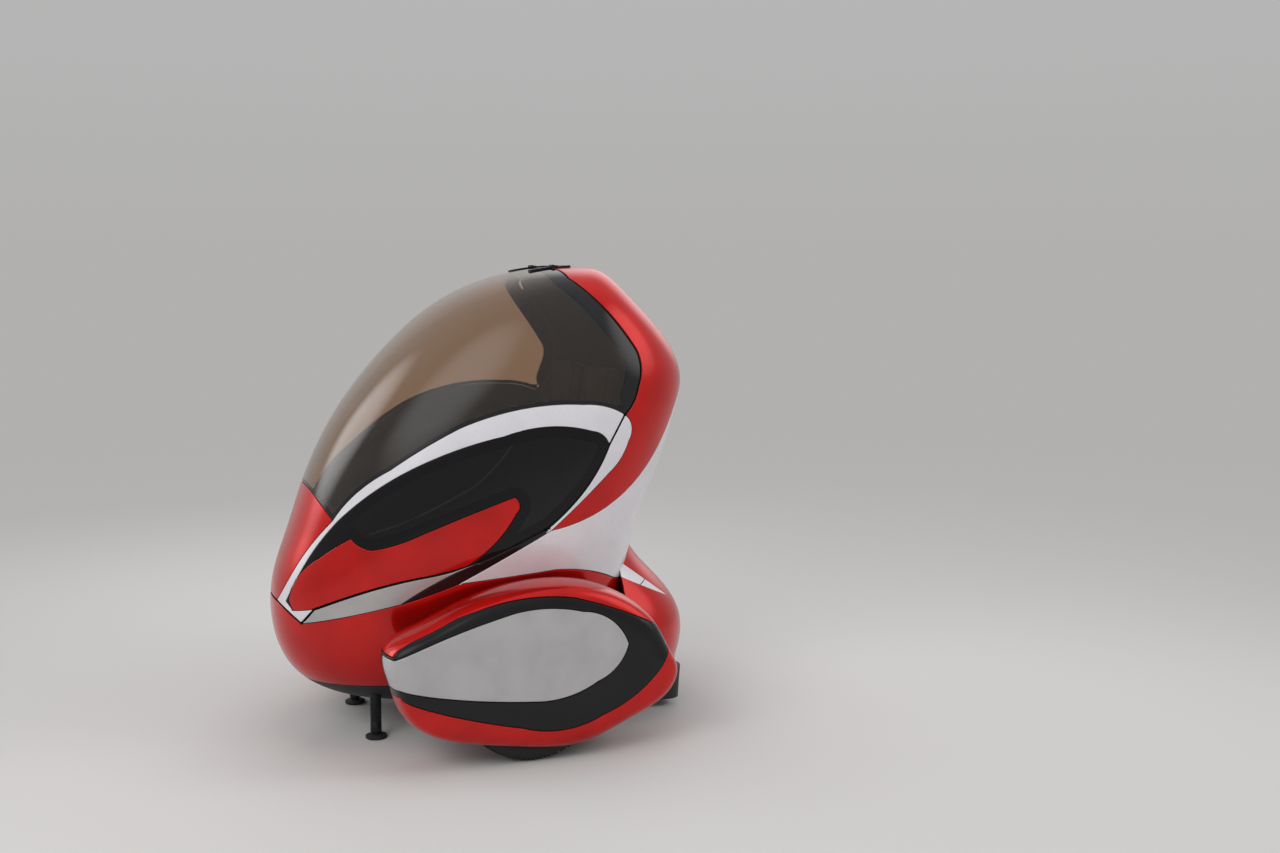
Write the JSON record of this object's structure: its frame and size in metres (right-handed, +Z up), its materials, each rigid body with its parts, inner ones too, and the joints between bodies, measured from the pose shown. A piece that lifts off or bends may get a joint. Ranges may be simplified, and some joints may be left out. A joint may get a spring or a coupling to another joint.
{
  "type": "two-seat electric self-balancing mobility pod",
  "caption": "Egg-shaped electric city pod with a lift-up glass canopy, a pearl ring round the side glass and side-by-side wheels in fender pods.",
  "frame": {"origin": "on the floor under the middle of the vehicle's box, wheels and legs standing at z = 0", "axes": "+X forward, +Y to the vehicle's left, +Z up"},
  "size_m": [1.5074, 1.42, 1.645],
  "materials": {
    "battery_case": "powder coat",
    "black_plastic": "fine grained",
    "frame_metal": "satin black",
    "pearl_paint": "pearl gloss",
    "red_paint": "metallic gloss",
    "cast_metal": "cast",
    "leg_metal": "satin",
    "black_gloss": "piano black gloss",
    "rim_metal": "satin",
    "seat_fabric": "woven",
    "tinted_glass": "tinted, polished",
    "grey_paint": "metallic satin",
    "tyre_rubber": "matt rubber"
  },
  "bodies": {
    "root": {"battery_block": "battery_case", "cabin_floor": "black_plastic", "canopy_hinge": "frame_metal", "chassis_frame": "frame_metal", "dash": "black_plastic", "drive_unit_left": "cast_metal", "drive_unit_right": "cast_metal", "floor_tub": "black_plastic", "front_legs": "leg_metal", "lower_body": "red_paint", "pod_arch_left": "red_paint", "pod_arch_right": "red_paint", "pod_band_left": "black_gloss", "pod_band_right": "black_gloss", "pod_lip_left": "red_paint", "pod_lip_right": "red_paint", "rear_legs": "leg_metal", "rear_shell": "red_paint", "rear_valance": "black_plastic", "ring_tail_left": "pearl_paint", "ring_tail_right": "pearl_paint", "seat_back_left": "seat_fabric", "seat_back_right": "seat_fabric", "seat_cushion_left": "seat_fabric", "seat_cushion_right": "seat_fabric", "side_strip_left": "grey_paint", "side_strip_right": "grey_paint", "sill_band_left": "black_gloss", "sill_band_right": "black_gloss", "steering_column": "black_plastic", "tail_bumper": "red_paint", "waist_panel": "pearl_paint", "wheel_cover_left": "grey_paint", "wheel_cover_right": "grey_paint"},
    "canopy": {"windscreen": "tinted_glass", "nose_panel": "red_paint", "canopy_ring_left": "pearl_paint", "canopy_ring_right": "pearl_paint", "side_glass_left": "tinted_glass", "side_glass_right": "tinted_glass", "door_panel_left": "red_paint", "door_panel_right": "red_paint", "canopy_hinge_arms": "frame_metal"},
    "wheel_left": {"tyre_left": "tyre_rubber", "rim_left": "rim_metal"},
    "wheel_right": {"tyre_right": "tyre_rubber", "rim_right": "rim_metal"},
    "steering": {"steering_yoke": "black_gloss"}
  },
  "joints": [
    {"name": "canopy_hinge", "type": "hinge", "parent": "root", "child": "canopy", "pos_m": [-0.25, 0, 1.6395], "axis": [0, -1, 0], "range_deg": [0, 60]},
    {"name": "left_wheel_spin", "type": "hinge", "parent": "root", "child": "wheel_left", "pos_m": [-0.02, 0.6, 0.26], "axis": [0, 1, 0], "continuous": true},
    {"name": "right_wheel_spin", "type": "hinge", "parent": "root", "child": "wheel_right", "pos_m": [-0.02, -0.6, 0.26], "axis": [0, 1, 0], "continuous": true},
    {"name": "steering_turn", "type": "hinge", "parent": "root", "child": "steering", "pos_m": [0.33, 0.2, 0.8], "axis": [-0.9063, 0, 0.4226], "range_deg": [-60, 60]}
  ]
}
